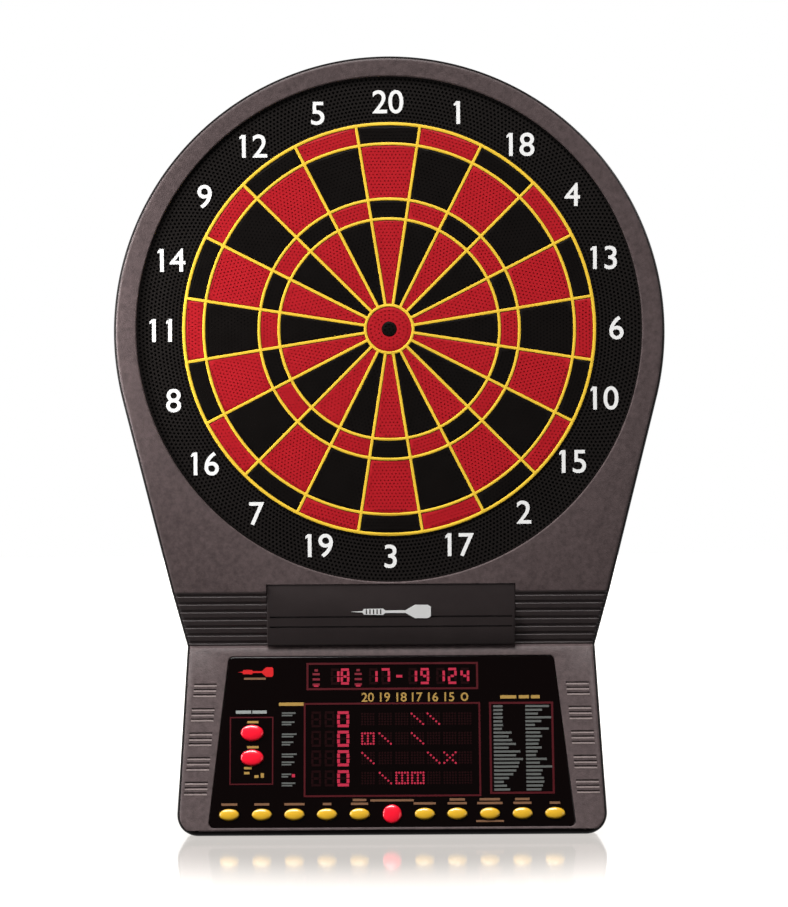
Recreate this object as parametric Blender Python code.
"""Electronic dartboard with a scoring console, for Blender 4.5.

Metres, +Z up. The wall plane is Y = 0 and the board faces -Y. X = Z = 0 is the bull's axis, so the
numbers run clockwise from 20 at +Z towards +X. Depths are written as the Y of each face.
"""

from math import acos, asin, atan, atan2, ceil, cos, pi, radians, sin, tan

import bmesh
import bpy
from mathutils import Matrix, Vector

# ---------------------------------------------------------------- driving sizes

GAP = 0.0003  # between pieces that rest on each other

# Target head
NUMBERS = (20, 1, 18, 4, 13, 6, 10, 15, 2, 17, 3, 19, 7, 16, 8, 11, 14, 9, 12, 5)
TARGET_RADIUS = 0.19685  # a 15.5 inch playing surface
RIM_WIDTH = 0.0030  # outermost wall of the spider
DIVIDER = 0.0027  # every other wall of the spider
DOUBLE_WIDTH = 0.0161
TRIPLE_OUTER = 0.12255
TRIPLE_WIDTH = 0.0162
BULL_RADIUS = 0.0211
BULL_CENTRE_RADIUS = 0.0070
SPIDER_DEPTH = 0.0100
SPIDER_FLANGE = 0.0072  # how far the spider reaches under the catch ring
SEGMENT_SINK = 0.0006  # segment faces lie this far below the spider
SEGMENT_WEB = 0.0015
SEGMENT_TRAVEL = 0.0010
BULL_FLANGE = 0.0020
CATCH_WIDTH = 0.0436  # visible width of the numbered catch ring
CATCH_THICKNESS = 0.0030
CATCH_TUCK = 0.0044  # catch ring hidden behind the housing's lip
RUBBER_THICKNESS = 0.0015
MATRIX_THICKNESS = 0.0006
PLATE_THICKNESS = 0.0040
PLATE_RIM = 0.0075

# Housing
WALL = 0.0030
BEZEL_WIDTH = 0.0217
HEAD_DROP = 0.0025  # the head's outline is centred this far below the bull's axis
FACE_Y = -0.0440
SPLIT_Y = -0.0160  # where the front housing meets the rear cover
BAND_GAP = 0.0084  # from the housing's round opening down to the ribbed band
BAND_HEIGHT = 0.0530
BAND_SINK = 0.0180  # how far the band leans back over its height
RIBS = 7
RIB_DEPTH = 0.0012
WAIST_HALF = 0.1947
FLARE = 0.0090  # the console's sides lean out by this much on each side
BASE_CORNER = 0.0200
REAR_WALL = 0.0025

# Console, whose face leans towards the player's eyes
CONSOLE_TILT = radians(15)
CONSOLE_LENGTH = 0.1740
CONSOLE_STEP = 0.0040
CONSOLE_DROP = 0.0020
LIP_HEIGHT = 0.0060
OVERLAY_THICKNESS = 0.0015
OVERLAY_TOP = 0.0085
OVERLAY_MARGIN = 0.0025  # left below the overlay, down to the lip
OVERLAY_TOP_HALF = 0.1546
OVERLAY_BOTTOM_HALF = 0.1735
OVERLAY_CORNER = 0.0050
OVERLAY_LEDGE = 0.0018
FIT = 0.0004  # round pieces that sit in a pocket or slide in a hole
GROOVE_GROUPS = 5
GROOVE_GROUP_PITCH = 0.0235
GROOVES_TOP = 0.0394
GROOVES_IN_GROUP = 3
GROOVE_PITCH = 0.0040
GROOVE_HEIGHT = 0.0016
GROOVE_LENGTH = 0.0180
GROOVE_DEPTH = 0.0012

# Displays and buttons, placed by their distance down the console's face
STATUS_TOP, STATUS_BOTTOM, STATUS_HALF = 0.0142, 0.0400, 0.0815
SCORE_TOP, SCORE_BOTTOM, SCORE_HALF = 0.0530, 0.1425, 0.0836
DISPLAY_FRONT = 0.0023
DISPLAY_THICKNESS = 0.0080
BOARD_THICKNESS = 0.0016
BUTTON_PITCH = 0.0307
BUTTONS_EACH_SIDE = 5
BUTTON_MARGIN = 0.0005  # between the start button's flange and the housing's ledge
KEY_HALF_WIDTH, KEY_HALF_HEIGHT = 0.0095, 0.0055
START_RADIUS = 0.0090
SIDE_BUTTON_X = -0.1323
SIDE_BUTTON_ROWS = (0.0815, 0.1052)
SIDE_HALF_WIDTH, SIDE_HALF_HEIGHT = 0.0110, 0.0078
BUTTON_HEIGHT = 0.0032
BUTTON_FLANGE = 0.0008
BUTTON_STEM = 0.0025
BUTTON_TRAVEL = 0.0015
MAT_THICKNESS = 0.0015

# Nameplate and speaker
PLATE_HALF = 0.1180
NAMEPLATE_THICKNESS = 0.0012
NAMEPLATE_PROUD = 0.0067  # over the band at the band's lower end
NAMEPLATE_MARGIN = 0.0005
NAMEPLATE_RISE = 0.0066  # how far the nameplate reaches above the ribbed band
SOUND_SLOTS = (0.0316, 0.0411)  # below the nameplate's top edge
SOUND_SLOT_HEIGHT = 0.0018
SOUND_SLOT_END = 0.0025  # left at each end of a sound slot
SPEAKER_RADIUS = 0.0225
SPEAKER_DEPTH = 0.0160

# Rear cover, boards and fasteners
RIB_RING = 0.0040
KEYHOLE_X, KEYHOLE_Z = 0.0800, 0.1800
KEYHOLE_HEAD, KEYHOLE_NECK, KEYHOLE_RISE = 0.0055, 0.0028, 0.0120
POST_RADIUS = 0.0050
SCREW_SHANK = 0.0015
SCREW_HEAD = 0.0034
SCREW_HEAD_HEIGHT = 0.0022
SCREW_LENGTH = 0.0140
POST_FLOOR = 0.0040
POST_ANGLES = (5, 55, 125, 175)
MAIN_BOARD_HALF, MAIN_BOARD_TOP = 0.1000, 0.0300
STANDOFF_HEIGHT = 0.0052
SOCKET_X, SOCKET_HALF, SOCKET_LENGTH = -0.0600, 0.0070, 0.0150
SOCKET_BORE, SOCKET_BORE_DEPTH = 0.0040, 0.0110
CABLE_X, CABLE_HALF, CABLE_THICKNESS = 0.0480, 0.0200, 0.0008
CABLE_Y = -0.0125
CABLE_TOP = 0.1900  # below the bull's axis, where the cable comes through the plate

# ---------------------------------------------------------------- sizes worked out from those

SECTOR = radians(18)
DOUBLE_INNER = TARGET_RADIUS - RIM_WIDTH - DOUBLE_WIDTH
OPENING_RADIUS = TARGET_RADIUS + CATCH_WIDTH
HOUSING_RADIUS = OPENING_RADIUS + BEZEL_WIDTH
CATCH_OUTER = OPENING_RADIUS + CATCH_TUCK
BAND_TOP = -(OPENING_RADIUS + BAND_GAP)
WAIST_Z = BAND_TOP - BAND_HEIGHT
NAMEPLATE_TOP = BAND_TOP + NAMEPLATE_RISE
VALLEY_Y = FACE_Y + BAND_SINK
CONSOLE_Y = VALLEY_Y - CONSOLE_STEP
CONSOLE_Z = WAIST_Z - CONSOLE_DROP
BASE_Z = CONSOLE_Z - CONSOLE_LENGTH * cos(CONSOLE_TILT) - LIP_HEIGHT
BASE_HALF = WAIST_HALF + FLARE
CATCH_FRONT = FACE_Y + WALL + GAP
CATCH_BACK = CATCH_FRONT + CATCH_THICKNESS
SPIDER_FRONT = CATCH_FRONT - 0.0013
SPIDER_BACK = SPIDER_FRONT + SPIDER_DEPTH
SEGMENT_FRONT = SPIDER_FRONT + SEGMENT_SINK
WEB_FRONT = SPIDER_BACK + GAP
WEB_BACK = WEB_FRONT + SEGMENT_WEB
RUBBER_FRONT = WEB_BACK + SEGMENT_TRAVEL + GAP
MATRIX_FRONT = RUBBER_FRONT + RUBBER_THICKNESS + GAP
PLATE_FRONT = MATRIX_FRONT + MATRIX_THICKNESS + GAP
PLATE_BACK = PLATE_FRONT + PLATE_THICKNESS
STACK_RADIUS = TARGET_RADIUS + SPIDER_FLANGE
PLATE_RADIUS = CATCH_OUTER - 0.0080
POST_RING = CATCH_OUTER + POST_RADIUS + 0.0005
OVERLAY_BOTTOM = CONSOLE_LENGTH - OVERLAY_MARGIN
BUTTON_ROW = OVERLAY_BOTTOM - OVERLAY_LEDGE - BUTTON_MARGIN - BUTTON_FLANGE - START_RADIUS
BOARD_FRONT = DISPLAY_FRONT + DISPLAY_THICKNESS + GAP
CONSOLE_FRAME = Matrix.Translation((0, CONSOLE_Y, CONSOLE_Z)) @ Matrix.Rotation(-CONSOLE_TILT, 4, "X")
BAND_TILT = atan(BAND_SINK / BAND_HEIGHT)
FAR = 0.05  # how far a cutter or a rough prism runs past what it shapes

# ---------------------------------------------------------------- tools


def finish(name, colour, roughness, metallic=0.0):
    made = bpy.data.materials.new(name)
    made.use_nodes = True
    shader = made.node_tree.nodes["Principled BSDF"]
    shader.inputs["Base Color"].default_value = (*colour, 1.0)
    shader.inputs["Roughness"].default_value = roughness
    shader.inputs["Metallic"].default_value = metallic
    return made


def place(name, bm, material=None, frame=None):
    """Turns a bmesh into an object, with its faces pointing out."""
    bmesh.ops.recalc_face_normals(bm, faces=bm.faces)
    mesh = bpy.data.meshes.new(name)
    bm.to_mesh(mesh)
    bm.free()
    obj = bpy.data.objects.new(name, mesh)
    bpy.context.scene.collection.objects.link(obj)
    if frame is not None:
        obj.matrix_world = frame
    if material is not None:
        mesh.materials.append(material)
    return obj


def prism(name, outlines, near, far, axis="Y", **kind):
    """Closed prisms: X-Z outlines carried along Y, or Y-Z outlines carried along X."""
    bm = bmesh.new()
    for outline in outlines:
        ends = []
        for depth in (near, far):
            points = [(a, depth, b) if axis == "Y" else (depth, a, b) for a, b in outline]
            ends.append([bm.verts.new(p) for p in points])
            bm.faces.new(ends[-1])
        bmesh.ops.bridge_loops(bm, edges=[e for e in bm.edges if rim_edge(e, ends)])
    return place(name, bm, **kind)


def rim_edge(edge, ends):
    return any(edge.verts[0] in end and edge.verts[1] in end for end in ends)


def turned(name, profile, steps, closed=True, **kind):
    """A profile of (radius, y) points spun about the Y axis. An open profile starts and ends on it."""
    bm = bmesh.new()
    verts = [bm.verts.new((radius, y, 0)) for radius, y in profile]
    links = list(zip(verts, verts[1:]))
    if closed:
        links.append((verts[-1], verts[0]))
    edges = [bm.edges.new(link) for link in links]
    bmesh.ops.spin(bm, geom=verts + edges, cent=(0, 0, 0), axis=(0, 1, 0), angle=2 * pi, steps=steps)
    bmesh.ops.remove_doubles(bm, verts=bm.verts, dist=1e-6)
    return place(name, bm, **kind)


def stacked(name, rings, steps, **kind):
    """Oval rings of (half width, half height, y) joined front to back, with both ends closed."""
    bm = bmesh.new()
    loops = []
    for half_width, half_height, y in rings:
        points = oval(half_width, half_height, steps)
        loops.append([bm.verts.new((x, y, z)) for x, z in points])
    for near, far in zip(loops, loops[1:]):
        for i in range(steps):
            bm.faces.new((near[i - 1], near[i], far[i], far[i - 1]))
    bm.faces.new(loops[0])
    bm.faces.new(loops[-1])
    return place(name, bm, **kind)


def box(name, low, high, **kind):
    outline = [(low[0], low[2]), (high[0], low[2]), (high[0], high[2]), (low[0], high[2])]
    return prism(name, [outline], low[1], high[1], **kind)


def shape(target, operation, *tools):
    """Boolean modifiers, applied, with their tools removed."""
    for tool in tools:
        modifier = target.modifiers.new(tool.name, "BOOLEAN")
        modifier.operation = operation
        modifier.object = tool
    bpy.context.view_layer.update()
    evaluated = target.evaluated_get(bpy.context.evaluated_depsgraph_get())
    mesh = bpy.data.meshes.new_from_object(evaluated)
    target.modifiers.clear()
    target.data = mesh
    for tool in tools:
        bpy.data.objects.remove(tool)
    return target


def move(obj, x=0.0, y=0.0, z=0.0):
    obj.matrix_world = Matrix.Translation((x, y, z)) @ obj.matrix_world
    return obj


def oval(half_width, half_height, steps, x=0.0, z=0.0):
    turns = [2 * pi * (i + 0.5) / steps for i in range(steps)]
    return [(x + half_width * sin(t), z + half_height * cos(t)) for t in turns]


def arc(centre, radius, start, end, steps):
    turns = [start + (end - start) * i / steps for i in range(steps + 1)]
    return [(centre[0] + radius * cos(t), centre[1] + radius * sin(t)) for t in turns]


def meet(normal_a, reach_a, normal_b, reach_b):
    """Where two lines cross, each given by its normal and its distance from the origin."""
    determinant = normal_a.x * normal_b.y - normal_a.y * normal_b.x
    x = (reach_a * normal_b.y - reach_b * normal_a.y) / determinant
    z = (normal_a.x * reach_b - normal_b.x * reach_a) / determinant
    return Vector((x, z))


def mirrored(right_half):
    """A closed outline from the points of its right half, listed from the top to the bottom."""
    return right_half + [(-x, z) for x, z in reversed(right_half) if x > 1e-9]


# ---------------------------------------------------------------- outlines


def cell(inner, outer, wall, steps=2):
    """One scoring cell under the number 20: arcs inside and out, sides parallel to the dividers."""

    def half_turn(radius):
        return SECTOR / 2 - asin(wall / radius)

    points = []
    for radius, way in ((outer, 1), (inner, -1)):
        for i in range(steps + 1):
            turn = way * half_turn(radius) * (2 * i / steps - 1)
            points.append((radius * sin(turn), radius * cos(turn)))
    return points


def turned_about_bull(outline, turn):
    return [(x * cos(turn) + z * sin(turn), z * cos(turn) - x * sin(turn)) for x, z in outline]


def cell_bands(clearance):
    """Inner and outer radius of the four cells of a number, each kept clear of the spider's walls."""
    edges = (
        (BULL_RADIUS + GAP + DIVIDER, TRIPLE_OUTER - TRIPLE_WIDTH - DIVIDER),
        (TRIPLE_OUTER - TRIPLE_WIDTH, TRIPLE_OUTER),
        (TRIPLE_OUTER + DIVIDER, DOUBLE_INNER - DIVIDER),
        (DOUBLE_INNER, TARGET_RADIUS - RIM_WIDTH),
    )
    return [(inner + clearance, outer - clearance) for inner, outer in edges]


def housing_outline(inset=0.0):
    """The board from the front: a circle, flanks tangent to it, and the console's sides and base."""
    centre = Vector((0, -HEAD_DROP))
    waist = Vector((WAIST_HALF, WAIST_Z - 0.4 * CONSOLE_DROP))
    base = Vector((BASE_HALF, BASE_Z))
    away = waist - centre
    leave = atan2(away.y, away.x) + acos(HOUSING_RADIUS / away.length)
    flank = Vector((cos(leave), sin(leave)))
    down = (base - waist).normalized()
    side = Vector((-down.y, down.x))
    below = Vector((0, -1))
    side_reach = side.dot(waist) - inset
    base_reach = -BASE_Z - inset
    steps = ceil((pi / 2 - leave) / radians(5))
    round_top = arc(centre, HOUSING_RADIUS - inset, pi / 2, leave, steps)
    turn = BASE_CORNER - inset
    corner = meet(side, side_reach - turn, below, base_reach - turn)
    round_base = arc(corner, turn, atan2(side.y, side.x), -pi / 2, 4)
    neck = meet(flank, HOUSING_RADIUS - inset + flank.dot(centre), side, side_reach)
    return mirrored([*round_top, tuple(neck), *round_base])


def band_y(z):
    """The depth of the ribbed band's crests, which leans back from the housing's face."""
    return FACE_Y + (BAND_TOP - z) / BAND_HEIGHT * BAND_SINK


def console_y(z):
    return CONSOLE_Y - (CONSOLE_Z - z) * tan(CONSOLE_TILT)


def outer_profile():
    """The front housing from the side, as (y, z), with its ribs."""
    top, bottom = HOUSING_RADIUS + FAR, BASE_Z - FAR
    lip = BASE_Z + LIP_HEIGHT
    front = console_y(lip)
    points = [(SPLIT_Y, top), (FACE_Y, top), (FACE_Y, BAND_TOP)]
    pitch = BAND_HEIGHT / RIBS
    for i in range(RIBS):
        start = BAND_TOP - pitch * (i + 0.25)
        for share, sink in ((0.0, 0.0), (0.08, RIB_DEPTH), (0.28, RIB_DEPTH), (0.36, 0.0)):
            z = start - share * pitch
            points.append((band_y(z) + sink, z))
    points += [(VALLEY_Y, WAIST_Z), (CONSOLE_Y, CONSOLE_Z), (front, lip)]
    points += [(front + 0.0010, lip - 0.6 * LIP_HEIGHT), (front + 0.0055, BASE_Z - 0.0010)]
    return points + [(front + 0.0055, bottom), (SPLIT_Y, bottom)]


def inner_profile():
    """The cavity of the front housing from the side, a wall's thickness inside the outer one."""
    top, bottom = HOUSING_RADIUS + FAR, BASE_Z - FAR
    band_wall = WALL / cos(BAND_TILT)
    console_wall = WALL / cos(CONSOLE_TILT)
    ledge = CONSOLE_Z - WALL
    lip = BASE_Z + LIP_HEIGHT
    points = [(SPLIT_Y + FAR, top), (FACE_Y + WALL, top), (FACE_Y + WALL, BAND_TOP)]
    points += [(VALLEY_Y + band_wall, WAIST_Z), (VALLEY_Y + band_wall, ledge)]
    points += [(console_y(ledge) + console_wall, ledge), (console_y(lip) + console_wall, lip)]
    return points + [(console_y(lip) + console_wall, bottom), (SPLIT_Y + FAR, bottom)]


def overlay_half(down):
    """Half width of the printed overlay at a distance down the console's face."""
    share = (down - OVERLAY_TOP) / (OVERLAY_BOTTOM - OVERLAY_TOP)
    return OVERLAY_TOP_HALF + share * (OVERLAY_BOTTOM_HALF - OVERLAY_TOP_HALF)


def overlay_outline(grow=0.0):
    """The overlay's outline in the console's frame, where Z runs up its face."""
    lean = atan((OVERLAY_BOTTOM_HALF - OVERLAY_TOP_HALF) / (OVERLAY_BOTTOM - OVERLAY_TOP))
    side = Vector((cos(lean), sin(lean)))
    reach = side.dot(Vector((OVERLAY_TOP_HALF, -OVERLAY_TOP))) + grow
    turn = OVERLAY_CORNER
    up, below = Vector((0, 1)), Vector((0, -1))
    top = meet(side, reach - turn, up, -OVERLAY_TOP + grow - turn)
    bottom = meet(side, reach - turn, below, OVERLAY_BOTTOM + grow - turn)
    return mirrored(arc(top, turn, pi / 2, lean, 3) + arc(bottom, turn, lean, -pi / 2, 3))


def side_half(down):
    """Half width of the console at a distance down its face."""
    z = CONSOLE_Z - down * cos(CONSOLE_TILT)
    return WAIST_HALF + FLARE * (WAIST_Z - z) / (WAIST_Z - BASE_Z)


# ---------------------------------------------------------------- where things repeat

LOWER_POST = (BASE_HALF - WALL - POST_RADIUS - 0.0070, BASE_Z + WALL + POST_RADIUS + 0.0150)
POSTS = [(POST_RING * cos(radians(a)), POST_RING * sin(radians(a))) for a in POST_ANGLES]
POSTS += [LOWER_POST, (-LOWER_POST[0], LOWER_POST[1])]

# name, x, distance down the face, half width, half height
BUTTONS = [("start_button", 0.0, BUTTON_ROW, START_RADIUS, START_RADIUS)]
for place_in_row in range(BUTTONS_EACH_SIDE):
    for way in (-1, 1):
        number = BUTTONS_EACH_SIDE + way * (place_in_row + 1) + (way < 0)
        BUTTONS.append(
            (
                f"select_button_{number:02d}",
                way * BUTTON_PITCH * (place_in_row + 1),
                BUTTON_ROW,
                KEY_HALF_WIDTH,
                KEY_HALF_HEIGHT,
            )
        )
for label, row in zip(("upper", "lower"), SIDE_BUTTON_ROWS):
    BUTTONS.append((f"side_button_{label}", SIDE_BUTTON_X, row, SIDE_HALF_WIDTH, SIDE_HALF_HEIGHT))

BUTTON_STEPS = 12

# ---------------------------------------------------------------- finishes

SHELL = finish("shell_plastic", (0.075, 0.060, 0.060), 0.55)
BLACK = finish("black_plastic", (0.012, 0.012, 0.012), 0.50)
DARK_TRIM = finish("dark_trim", (0.030, 0.022, 0.022), 0.45)
YELLOW = finish("yellow_plastic", (0.80, 0.60, 0.03), 0.40)
RED_SEGMENT = finish("red_segment", (0.45, 0.015, 0.020), 0.50)
BLACK_SEGMENT = finish("black_segment", (0.012, 0.010, 0.009), 0.45)
LENS = finish("gloss_overlay", (0.004, 0.003, 0.003), 0.12)
LED = finish("display_plastic", (0.020, 0.004, 0.006), 0.30)
RED_BUTTON = finish("red_button", (0.80, 0.010, 0.030), 0.25)
YELLOW_BUTTON = finish("yellow_button", (0.85, 0.50, 0.03), 0.25)
RUBBER = finish("rubber", (0.020, 0.020, 0.022), 0.85)
FILM = finish("sensor_film", (0.55, 0.45, 0.25), 0.35)
FIBREBOARD = finish("fibreboard", (0.30, 0.20, 0.12), 0.80)
CIRCUIT = finish("circuit_board", (0.02, 0.12, 0.04), 0.45)
STEEL = finish("zinc_steel", (0.55, 0.55, 0.57), 0.35, 1.0)
RIBBON = finish("ribbon_cable", (0.35, 0.35, 0.37), 0.50)

# ---------------------------------------------------------------- target head


def make_spider():
    """The yellow grid: a flanged disc with a cell for every segment and a hole for the bull."""
    flange_front = CATCH_BACK + GAP
    profile = [
        (BULL_RADIUS + GAP, SPIDER_FRONT),
        (TARGET_RADIUS, SPIDER_FRONT),
        (TARGET_RADIUS, flange_front),
        (STACK_RADIUS, flange_front),
        (STACK_RADIUS, SPIDER_BACK),
        (BULL_RADIUS + GAP, SPIDER_BACK),
    ]
    disc = turned("spider", profile, 2 * len(NUMBERS), material=YELLOW)
    cells = []
    for i in range(len(NUMBERS)):
        for inner, outer in cell_bands(0.0):
            cells.append(turned_about_bull(cell(inner, outer, DIVIDER / 2), i * SECTOR))
    cutter = prism("cells", cells, SPIDER_FRONT - GAP, SPIDER_BACK + GAP)
    return shape(disc, "DIFFERENCE", cutter)


def make_segment_banks():
    """One sprung bank for each number: its four scoring faces on the web behind the spider."""
    wall = DIVIDER / 2 + GAP
    bands = cell_bands(GAP)
    web = cell(bands[0][0], TARGET_RADIUS, GAP)
    faces = [cell(inner, outer, wall) for inner, outer in bands]
    bank = prism("bank", [web], WEB_FRONT, WEB_BACK)
    middle = (WEB_FRONT + WEB_BACK) / 2
    shape(bank, "UNION", prism("faces", faces, SEGMENT_FRONT, middle))
    meshes = []
    for material in (RED_SEGMENT, BLACK_SEGMENT):
        mesh = bank.data.copy()
        mesh.materials.clear()
        mesh.materials.append(material)
        meshes.append(mesh)
    bpy.data.objects.remove(bank)
    for i, number in enumerate(NUMBERS):
        obj = bpy.data.objects.new(f"segment_bank_{number:02d}", meshes[i % 2])
        bpy.context.scene.collection.objects.link(obj)
        obj.rotation_euler = (0, i * SECTOR, 0)


def make_bulls():
    """The bull's red ring, and its black centre in the ring's stepped bore."""
    flange = BULL_RADIUS + BULL_FLANGE
    centre_flange = BULL_CENTRE_RADIUS + BULL_FLANGE
    step = WEB_FRONT - SEGMENT_TRAVEL - GAP
    bore = BULL_CENTRE_RADIUS + GAP
    ring = [
        (bore, SEGMENT_FRONT),
        (BULL_RADIUS, SEGMENT_FRONT),
        (BULL_RADIUS, WEB_FRONT),
        (flange, WEB_FRONT),
        (flange, WEB_BACK),
        (centre_flange + GAP, WEB_BACK),
        (centre_flange + GAP, step),
        (bore, step),
    ]
    turned("bull_ring", ring, 24, material=RED_SEGMENT)
    centre = [
        (0, SEGMENT_FRONT),
        (BULL_CENTRE_RADIUS, SEGMENT_FRONT),
        (BULL_CENTRE_RADIUS, WEB_FRONT),
        (centre_flange, WEB_FRONT),
        (centre_flange, WEB_BACK),
        (0, WEB_BACK),
    ]
    turned("bull_centre", centre, 16, closed=False, material=BLACK_SEGMENT)


def make_catch_ring():
    """The flat ring with the numbers, held between the housing's lip and the plate's rim."""
    inner = TARGET_RADIUS + FIT
    profile = [
        (inner, CATCH_FRONT),
        (CATCH_OUTER, CATCH_FRONT),
        (CATCH_OUTER, CATCH_BACK),
        (inner, CATCH_BACK),
    ]
    turned("catch_ring", profile, 72, material=BLACK)


def sheet(name, front, thickness, material):
    outline = arc((0, 0), STACK_RADIUS, 0, 2 * pi, 40)[:-1]
    return prism(name, [outline], front, front + thickness, material=material)


def make_stack():
    """Behind the segments: rubber, the sensing film, and the dished plate that backs them."""
    sheet("rubber_sheet", RUBBER_FRONT, RUBBER_THICKNESS, RUBBER)
    sheet("sensor_matrix", MATRIX_FRONT, MATRIX_THICKNESS, FILM)
    rim_front = CATCH_BACK + GAP
    profile = [
        (0, PLATE_FRONT),
        (PLATE_RADIUS - PLATE_RIM, PLATE_FRONT),
        (PLATE_RADIUS - PLATE_RIM, rim_front),
        (PLATE_RADIUS, rim_front),
        (PLATE_RADIUS, PLATE_BACK),
        (0, PLATE_BACK),
    ]
    plate = turned("pressure_plate", profile, 48, closed=False, material=FIBREBOARD)
    slot_low = -CABLE_TOP - CABLE_THICKNESS - 0.0020
    low = (CABLE_X - CABLE_HALF - 0.0020, PLATE_FRONT - FAR, slot_low)
    high = (CABLE_X + CABLE_HALF + 0.0020, PLATE_BACK + FAR, -CABLE_TOP + 0.0020)
    shape(plate, "DIFFERENCE", box("cable_slot", low, high))


# ---------------------------------------------------------------- housing


def pocket_y(z):
    """The floor of the nameplate's pocket."""
    top = FACE_Y + NAMEPLATE_THICKNESS + 3 * GAP
    lean = (BAND_SINK - NAMEPLATE_PROUD + 0.0015) / (BAND_HEIGHT + NAMEPLATE_RISE)
    return top + (NAMEPLATE_TOP - z) * lean


def make_housing():
    """The front shell: outline and profile crossed, hollowed around its screw posts, then cut open."""
    split = SPLIT_Y
    shell = prism("front_housing", [housing_outline()], split, FACE_Y - FAR, material=SHELL)
    wide = HOUSING_RADIUS + FAR
    shape(shell, "INTERSECT", prism("side_view", [outer_profile()], -wide, wide, axis="X"))

    cavity = prism("cavity", [housing_outline(WALL)], split + FAR, FACE_Y - FAR)
    shape(cavity, "INTERSECT", prism("inner_view", [inner_profile()], -wide, wide, axis="X"))
    posts = [oval(POST_RADIUS, POST_RADIUS, 12, x, z) for x, z in POSTS]
    shape(cavity, "DIFFERENCE", prism("posts", posts, split + 2 * FAR, FACE_Y - FAR))
    shape(shell, "DIFFERENCE", cavity)

    opening = arc((0, 0), OPENING_RADIUS, 0, 2 * pi, 72)[:-1]
    front_cut = prism("opening", [opening], FACE_Y - FAR, FACE_Y + 2 * WALL)
    recess = prism(
        "recess",
        [overlay_outline(FIT)],
        -FAR,
        OVERLAY_THICKNESS + 2 * GAP,
        frame=CONSOLE_FRAME,
    )
    window = prism("window", [overlay_outline(-OVERLAY_LEDGE)], -FAR, 2 * WALL, frame=CONSOLE_FRAME)
    shape(shell, "DIFFERENCE", front_cut, recess, window)

    top, low = NAMEPLATE_TOP, WAIST_Z - 0.0010
    ahead = FACE_Y - FAR
    floor = [(pocket_y(top), top), (pocket_y(low), low), (ahead, low), (ahead, top)]
    half = PLATE_HALF + NAMEPLATE_MARGIN
    pocket = prism("pocket", [floor], -half, half, axis="X")
    sound_top = NAMEPLATE_TOP - SOUND_SLOTS[0] + 2 * SOUND_SLOT_HEIGHT
    sound_bottom = NAMEPLATE_TOP - SOUND_SLOTS[1] - 2 * SOUND_SLOT_HEIGHT
    half = SPEAKER_RADIUS * 0.8
    sound = box("sound_window", (-half, FACE_Y, sound_bottom), (half, SPLIT_Y, sound_top))
    shape(shell, "DIFFERENCE", pocket, sound)
    shape(shell, "DIFFERENCE", make_grooves(), make_pilot_holes())


def make_grooves():
    """Groups of short horizontal grooves on both strips beside the overlay."""
    outlines = []
    for group in range(GROOVE_GROUPS):
        for line in range(GROOVES_IN_GROUP):
            down = GROOVES_TOP + group * GROOVE_GROUP_PITCH + (line - 1) * GROOVE_PITCH
            middle = (overlay_half(down) + side_half(down)) / 2
            for way in (-1, 1):
                left = way * middle - GROOVE_LENGTH / 2
                right = left + GROOVE_LENGTH
                low, high = -down - GROOVE_HEIGHT / 2, -down + GROOVE_HEIGHT / 2
                outlines.append([(left, low), (right, low), (right, high), (left, high)])
    return prism("grooves", outlines, -FAR, GROOVE_DEPTH, frame=CONSOLE_FRAME)


def make_pilot_holes():
    bore = SCREW_SHANK + GAP
    holes = [oval(bore, bore, 8, x, z) for x, z in POSTS]
    return prism("pilots", holes, SPLIT_Y + GAP, SPLIT_Y - SCREW_LENGTH)


def make_nameplate():
    """The dark block over the band, cut through by two long sound slots."""
    top = NAMEPLATE_TOP - NAMEPLATE_MARGIN
    low = WAIST_Z + 0.0012
    crossing = BAND_TOP - 0.5 * BAND_HEIGHT
    front_top = pocket_y(top) - GAP - NAMEPLATE_THICKNESS
    front_low = band_y(low) - NAMEPLATE_PROUD
    profile = [
        (front_top, top),
        (front_low, low),
        (min(pocket_y(low), band_y(low)) - GAP, low),
        (min(pocket_y(crossing), band_y(crossing)) - GAP, crossing),
        (pocket_y(top) - GAP, top),
    ]
    plate = prism("nameplate", [profile], -PLATE_HALF, PLATE_HALF, axis="X", material=DARK_TRIM)
    slots = []
    for down in SOUND_SLOTS:
        high = NAMEPLATE_TOP - down + SOUND_SLOT_HEIGHT / 2
        bottom = high - SOUND_SLOT_HEIGHT
        half = PLATE_HALF - SOUND_SLOT_END
        slots.append([(-half, bottom), (half, bottom), (half, high), (-half, high)])
    shape(plate, "DIFFERENCE", prism("slots", slots, FACE_Y - FAR, SPLIT_Y))


def make_speaker():
    """A small round speaker behind the band, lying along its slope."""
    middle = BAND_TOP - BAND_HEIGHT / 2
    depth = WALL + GAP
    frame = Matrix.Translation((0, band_y(middle), middle)) @ Matrix.Rotation(BAND_TILT, 4, "X")
    magnet = SPEAKER_RADIUS * 0.55
    profile = [
        (0, depth + 0.0050),
        (magnet * 0.5, depth + 0.0050),
        (SPEAKER_RADIUS - 0.0030, depth),
        (SPEAKER_RADIUS, depth),
        (SPEAKER_RADIUS, depth + 0.0020),
        (magnet, depth + 0.0080),
        (magnet, depth + SPEAKER_DEPTH),
        (0, depth + SPEAKER_DEPTH),
    ]
    turned("speaker", profile, 20, closed=False, material=STEEL, frame=frame)


# ---------------------------------------------------------------- rear cover

COVER_FRONT = SPLIT_Y + GAP
POST_STEP = COVER_FRONT + POST_FLOOR  # the face that the screws' heads pull against


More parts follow.
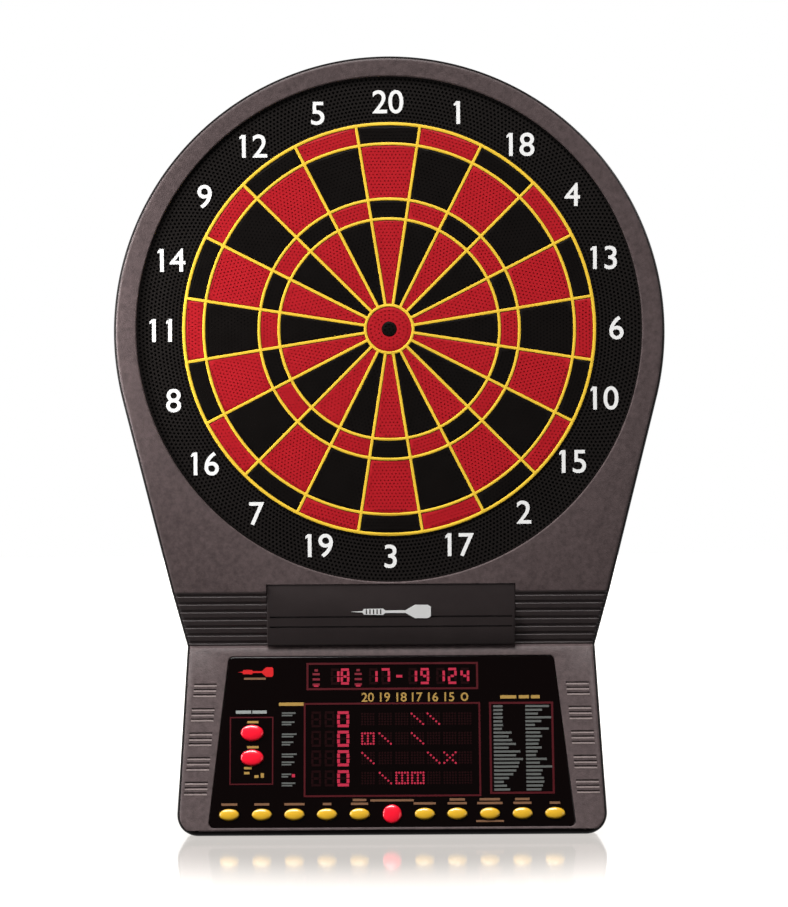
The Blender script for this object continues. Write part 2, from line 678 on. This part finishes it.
def make_rear_cover():
    """A tray with a rib that presses the plate, screw posts, board standoffs and two keyholes."""
    cover = prism("rear_cover", [housing_outline()], 0, COVER_FRONT, material=BLACK)
    tray = prism("tray", [housing_outline(WALL)], -REAR_WALL, COVER_FRONT - FAR)

    posts = [oval(POST_RADIUS, POST_RADIUS, 12, x, z) for x, z in POSTS]
    post_tool = prism("posts", posts, FAR, COVER_FRONT - 2 * FAR)
    standoffs = [oval(0.0030, 0.0030, 8, x, z) for x, z in standoff_places()]
    standoff_tool = prism("standoffs", standoffs, FAR, -REAR_WALL - STANDOFF_HEIGHT)
    shape(tray, "DIFFERENCE", post_tool, standoff_tool)
    shape(cover, "DIFFERENCE", tray)

    outer = PLATE_RADIUS - 0.0020
    inner = outer - RIB_RING
    rooted, pressing = -REAR_WALL / 2, PLATE_BACK + GAP
    profile = [(inner, rooted), (outer, rooted), (outer, pressing), (inner, pressing)]
    ring_tool = turned("rib", profile, 40)
    notch_low = (CABLE_X - CABLE_HALF - 0.0030, -FAR, -PLATE_RADIUS - FAR)
    notch_high = (CABLE_X + CABLE_HALF + 0.0030, -REAR_WALL - 0.0005, -CABLE_TOP)
    shape(ring_tool, "DIFFERENCE", box("notch", notch_low, notch_high))
    shape(cover, "UNION", ring_tool)

    shank, head = SCREW_SHANK + GAP, SCREW_HEAD + FIT
    through = prism("through", [oval(shank, shank, 8, x, z) for x, z in POSTS], FAR, COVER_FRONT - FAR)
    wells = prism("wells", [oval(head, head, 12, x, z) for x, z in POSTS], FAR, POST_STEP)
    shape(cover, "DIFFERENCE", through, wells)
    shape(cover, "DIFFERENCE", keyhole_cutter(), socket_cutter(), vent_cutter())


def standoff_places():
    board_top, board_bottom = board_reach()
    x = MAIN_BOARD_HALF - 0.0080
    rows = (board_top - 0.0080, board_bottom + 0.0080)
    return [(way * x, z) for z in rows for way in (-1, 1)]


def board_reach():
    """Top and bottom Z of the main board, which ends at the power socket."""
    return CONSOLE_Z - MAIN_BOARD_TOP, BASE_Z + WALL + SOCKET_LENGTH + 2 * GAP


def keyhole_cutter():
    """Two keyholes: a round entry for a screw's head and a narrow neck above it."""
    outlines = []
    for x in (-KEYHOLE_X, KEYHOLE_X):
        meeting = acos(KEYHOLE_NECK / KEYHOLE_HEAD)
        entry = arc((x, KEYHOLE_Z), KEYHOLE_HEAD, meeting, -pi - meeting, 14)
        neck = arc((x, KEYHOLE_Z + KEYHOLE_RISE), KEYHOLE_NECK, pi, 0, 4)
        outlines.append(entry + neck)
    return prism("keyholes", outlines, FAR, -REAR_WALL - 0.0010)


def socket_cutter():
    """The hole in the cover's base that a power plug goes through."""
    hole = turned("socket_hole", [(0, -FAR), (0.0055, -FAR), (0.0055, FAR), (0, FAR)], 12, closed=False)
    hole.matrix_world = Matrix.Translation((SOCKET_X, socket_y(), BASE_Z)) @ Matrix.Rotation(pi / 2, 4, "X")
    inside = BASE_Z + 2 * WALL
    keep = box("keep", (SOCKET_X - FAR, -FAR, BASE_Z - FAR), (SOCKET_X + FAR, FAR, inside))
    return shape(hole, "INTERSECT", keep)


def socket_y():
    return (COVER_FRONT - REAR_WALL) / 2


def vent_cutter():
    """Two rows of upright slots that let the boards breathe."""
    top, bottom = board_reach()
    middle, half_height = (top + bottom) / 2, 0.0200
    outlines = []
    for way in (-1, 1):
        for i in range(6):
            left = way * (MAIN_BOARD_HALF + 0.0180 + i * 0.0080) - 0.0015
            right = left + 0.0030
            low, high = middle - half_height, middle + half_height
            outlines.append([(left, low), (right, low), (right, high), (left, high)])
    return prism("vents", outlines, FAR, -REAR_WALL - 0.0010)


def make_screws():
    """Self-tapping screws, each with its head at the bottom of a post's well."""
    head_back = POST_STEP + GAP
    for i, (x, z) in enumerate(POSTS):
        rings = [
            (SCREW_SHANK * 0.4, SCREW_SHANK * 0.4, head_back - POST_FLOOR - SCREW_LENGTH + 0.0030),
            (SCREW_SHANK, SCREW_SHANK, head_back - POST_FLOOR - SCREW_LENGTH + 0.0055),
            (SCREW_SHANK, SCREW_SHANK, head_back),
            (SCREW_HEAD, SCREW_HEAD, head_back),
            (SCREW_HEAD * 0.8, SCREW_HEAD * 0.8, head_back + SCREW_HEAD_HEIGHT),
        ]
        screw = stacked(f"case_screw_{i + 1}", rings, 8, material=STEEL)
        move(screw, x, 0, z)


# ---------------------------------------------------------------- console


def make_overlay():
    """The printed black window, with a hole for each button."""
    front = GAP
    overlay = prism(
        "display_overlay",
        [overlay_outline()],
        front,
        front + OVERLAY_THICKNESS,
        frame=CONSOLE_FRAME,
        material=LENS,
    )
    holes = [oval(w + FIT, h + FIT, BUTTON_STEPS, x, -down) for _, x, down, w, h in BUTTONS]
    cutter = prism("button_holes", holes, front - FAR, front + FAR, frame=CONSOLE_FRAME)
    shape(overlay, "DIFFERENCE", cutter)


def make_buttons():
    """Caps that stand out of the overlay, each with a flange behind it and a stem."""
    flange_front = OVERLAY_THICKNESS + 2 * GAP
    stem_end = BOARD_FRONT - GAP - MAT_THICKNESS - GAP - BUTTON_TRAVEL
    for name, x, down, w, h in BUTTONS:
        flange_w, flange_h = w + BUTTON_FLANGE, h + BUTTON_FLANGE
        rings = [
            (w * 0.72, h * 0.68, -BUTTON_HEIGHT),
            (w, h, -BUTTON_HEIGHT * 0.6),
            (w, h, flange_front),
            (flange_w, flange_h, flange_front),
            (flange_w, flange_h, flange_front + 0.0012),
            (BUTTON_STEM, BUTTON_STEM, flange_front + 0.0012),
            (BUTTON_STEM, BUTTON_STEM, stem_end),
        ]
        material = YELLOW_BUTTON if name.startswith("select") else RED_BUTTON
        button = stacked(name, rings, BUTTON_STEPS, material=material)
        button.matrix_world = CONSOLE_FRAME @ Matrix.Translation((x, 0, -down))


def make_displays():
    """LED modules behind the overlay, the mats under the buttons, and the board that carries both."""
    modules = (
        ("status_display", STATUS_TOP, STATUS_BOTTOM, STATUS_HALF),
        ("score_display", SCORE_TOP, SCORE_BOTTOM, SCORE_HALF),
    )
    for name, top, bottom, half in modules:
        low, high = (-half, DISPLAY_FRONT, -bottom), (half, DISPLAY_FRONT + DISPLAY_THICKNESS, -top)
        box(name, low, high, material=LED, frame=CONSOLE_FRAME)

    mat_back = BOARD_FRONT - GAP
    mat_front = mat_back - MAT_THICKNESS
    row_half = BUTTONS_EACH_SIDE * BUTTON_PITCH + KEY_HALF_WIDTH
    low = (-row_half, mat_front, -BUTTON_ROW - KEY_HALF_HEIGHT - 0.0010)
    high = (row_half, mat_back, -BUTTON_ROW + START_RADIUS)
    box("key_mat", low, high, material=RUBBER, frame=CONSOLE_FRAME)
    reach = SIDE_HALF_HEIGHT + 0.0010
    low = (SIDE_BUTTON_X - SIDE_HALF_WIDTH, mat_front, -SIDE_BUTTON_ROWS[1] - reach)
    high = (SIDE_BUTTON_X + SIDE_HALF_WIDTH, mat_back, -SIDE_BUTTON_ROWS[0] + reach)
    box("side_key_mat", low, high, material=RUBBER, frame=CONSOLE_FRAME)

    board_half = max(row_half, SIDE_HALF_WIDTH - SIDE_BUTTON_X) + 0.0020
    low = (-board_half, BOARD_FRONT, -BUTTON_ROW - KEY_HALF_HEIGHT - 0.0020)
    high = (board_half, BOARD_FRONT + BOARD_THICKNESS, -STATUS_TOP)
    box("display_board", low, high, material=CIRCUIT, frame=CONSOLE_FRAME)


# ---------------------------------------------------------------- electronics in the rear


def make_main_board():
    """The controller board on the cover's standoffs, with its chips and connectors."""
    top, bottom = board_reach()
    back = -REAR_WALL - STANDOFF_HEIGHT - GAP
    front = back - BOARD_THICKNESS
    board = box(
        "main_board",
        (-MAIN_BOARD_HALF, front, bottom),
        (MAIN_BOARD_HALF, back, top),
        material=CIRCUIT,
    )
    sunk = front + BOARD_THICKNESS / 2
    parts = [
        ("connector", CABLE_X, top - 0.0050, CABLE_HALF, 0.0030, 0.0060),
        ("processor", -0.0200, (top + bottom) / 2, 0.0170, 0.0090, 0.0030),
        ("sound_chip", 0.0500, (top + bottom) / 2, 0.0100, 0.0070, 0.0030),
        ("regulator", -0.0700, bottom + 0.0200, 0.0080, 0.0060, 0.0060),
    ]
    tools = [
        box(name, (x - w, front - rise, z - h), (x + w, sunk, z + h)) for name, x, z, w, h, rise in parts
    ]
    shape(board, "UNION", *tools)


def make_power_socket():
    """The low-voltage socket at the bottom of the cover, open downwards."""
    bottom = BASE_Z + WALL + GAP
    y = socket_y()
    half = SOCKET_HALF
    depth = 0.0058
    socket = box(
        "power_socket",
        (SOCKET_X - half, y - depth, bottom),
        (SOCKET_X + half, y + depth, bottom + SOCKET_LENGTH),
        material=BLACK,
    )
    bore = turned(
        "bore",
        [(0, -SOCKET_BORE_DEPTH), (SOCKET_BORE, -SOCKET_BORE_DEPTH), (SOCKET_BORE, FAR), (0, FAR)],
        16,
        closed=False,
    )
    bore.matrix_world = Matrix.Translation((SOCKET_X, y, bottom)) @ Matrix.Rotation(-pi / 2, 4, "X")
    shape(socket, "DIFFERENCE", bore)


def make_matrix_cable():
    """The flat cable from the sensing film, through the plate and down to the main board."""
    top, _ = board_reach()
    end = top - 0.0050 + 0.0030 + GAP
    start = PLATE_FRONT + GAP
    bend = 0.0040
    half = CABLE_THICKNESS / 2
    corner = (CABLE_Y - bend, -CABLE_TOP - bend)
    outside = arc(corner, bend + half, pi / 2, 0, 4)
    inside = arc(corner, bend - half, 0, pi / 2, 4)
    outline = [(start, -CABLE_TOP + half), *outside, (CABLE_Y + half, end), (CABLE_Y - half, end), *inside]
    outline.append((start, -CABLE_TOP - half))
    low, high = CABLE_X - CABLE_HALF, CABLE_X + CABLE_HALF
    prism("matrix_cable", [outline], low, high, axis="X", material=RIBBON)


# ---------------------------------------------------------------- build

for leftover in list(bpy.data.objects):
    bpy.data.objects.remove(leftover)

make_spider()
make_segment_banks()
make_bulls()
make_catch_ring()
make_stack()
make_housing()
make_nameplate()
make_speaker()
make_rear_cover()
make_screws()
make_overlay()
make_buttons()
make_displays()
make_main_board()
make_power_socket()
make_matrix_cable()

for made in bpy.data.objects:
    made.data.shade_smooth()
    made.data.set_sharp_from_angle(angle=radians(30))
